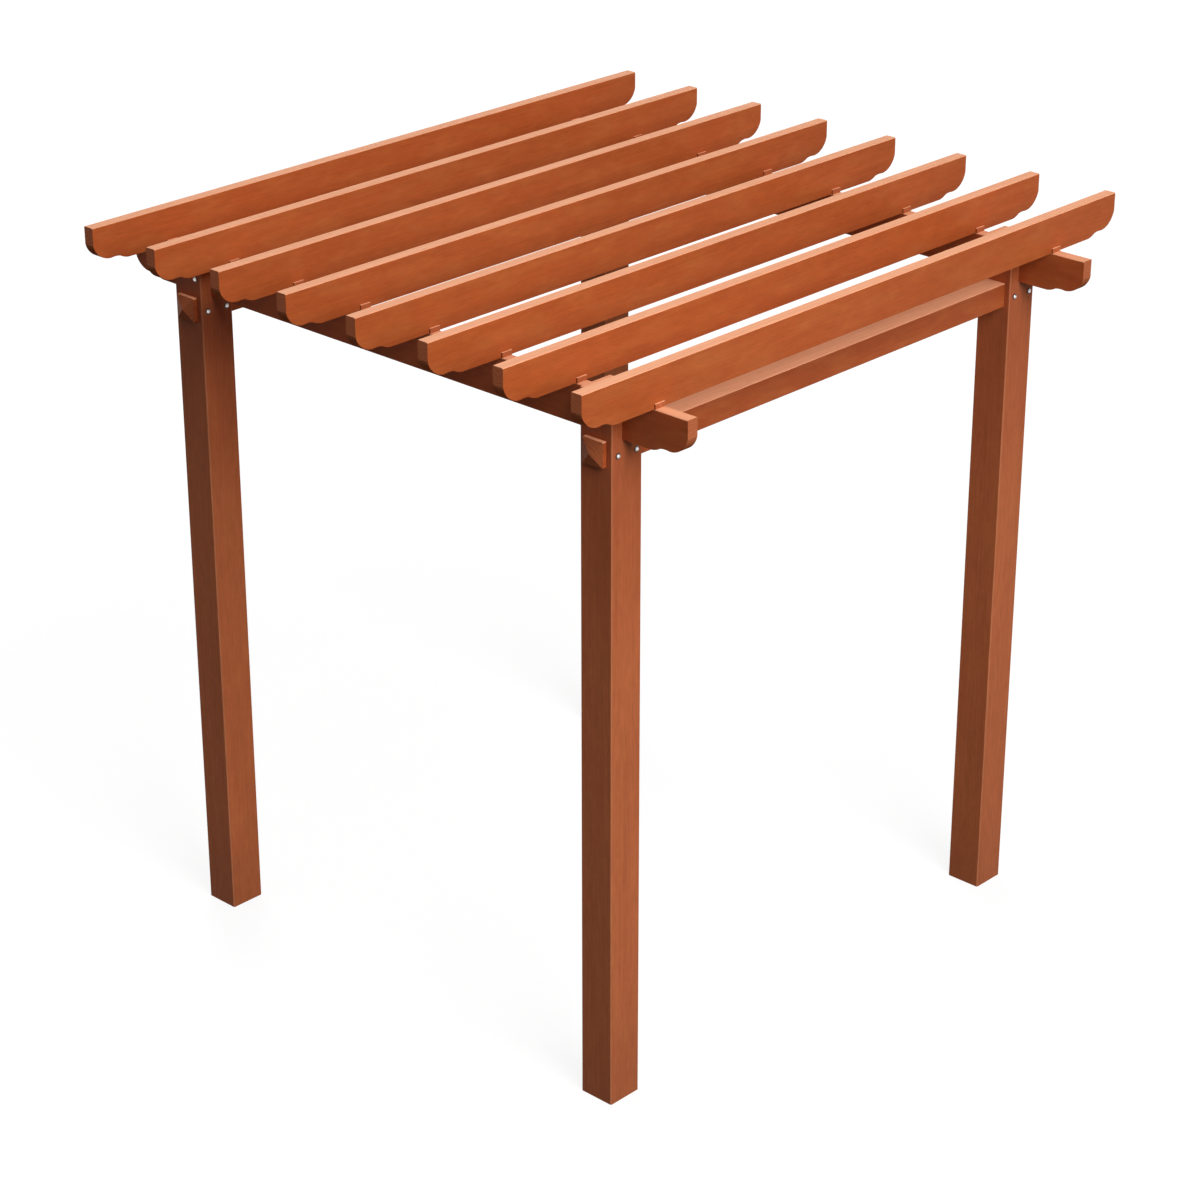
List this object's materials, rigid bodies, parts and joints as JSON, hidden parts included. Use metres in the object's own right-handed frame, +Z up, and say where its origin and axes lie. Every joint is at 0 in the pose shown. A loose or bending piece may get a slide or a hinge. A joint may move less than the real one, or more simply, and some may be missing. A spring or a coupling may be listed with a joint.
{
  "type": "garden pergola",
  "caption": "Free-standing timber pergola: mortised posts, scroll-ended cross beams, tenoned tie beams and an open rafter roof.",
  "frame": {"origin": "on the ground, at the centre of the square of posts", "axes": "+Z up, +Y along the rafters towards the back, +X along the cross beams towards the right"},
  "size_m": [2.67, 2.78, 2.738],
  "materials": {
    "stained_timber": "satin stain"
  },
  "bodies": {
    "root": {"post_front_left": "stained_timber", "post_front_right": "stained_timber", "post_back_left": "stained_timber", "post_back_right": "stained_timber", "cross_beam_front": "stained_timber", "cross_beam_back": "stained_timber", "tie_beam_left": "stained_timber", "tie_beam_right": "stained_timber", "rafter_1": "stained_timber", "rafter_2": "stained_timber", "rafter_3": "stained_timber", "rafter_4": "stained_timber", "rafter_5": "stained_timber", "rafter_6": "stained_timber", "rafter_7": "stained_timber", "rafter_8": "stained_timber", "key_front_1": "stained_timber", "key_front_2": "stained_timber", "key_front_3": "stained_timber", "key_front_4": "stained_timber", "key_front_5": "stained_timber", "key_front_6": "stained_timber", "key_front_7": "stained_timber", "key_front_8": "stained_timber", "key_back_1": "stained_timber", "key_back_2": "stained_timber", "key_back_3": "stained_timber", "key_back_4": "stained_timber", "key_back_5": "stained_timber", "key_back_6": "stained_timber", "key_back_7": "stained_timber", "key_back_8": "stained_timber"}
  },
  "joints": []
}
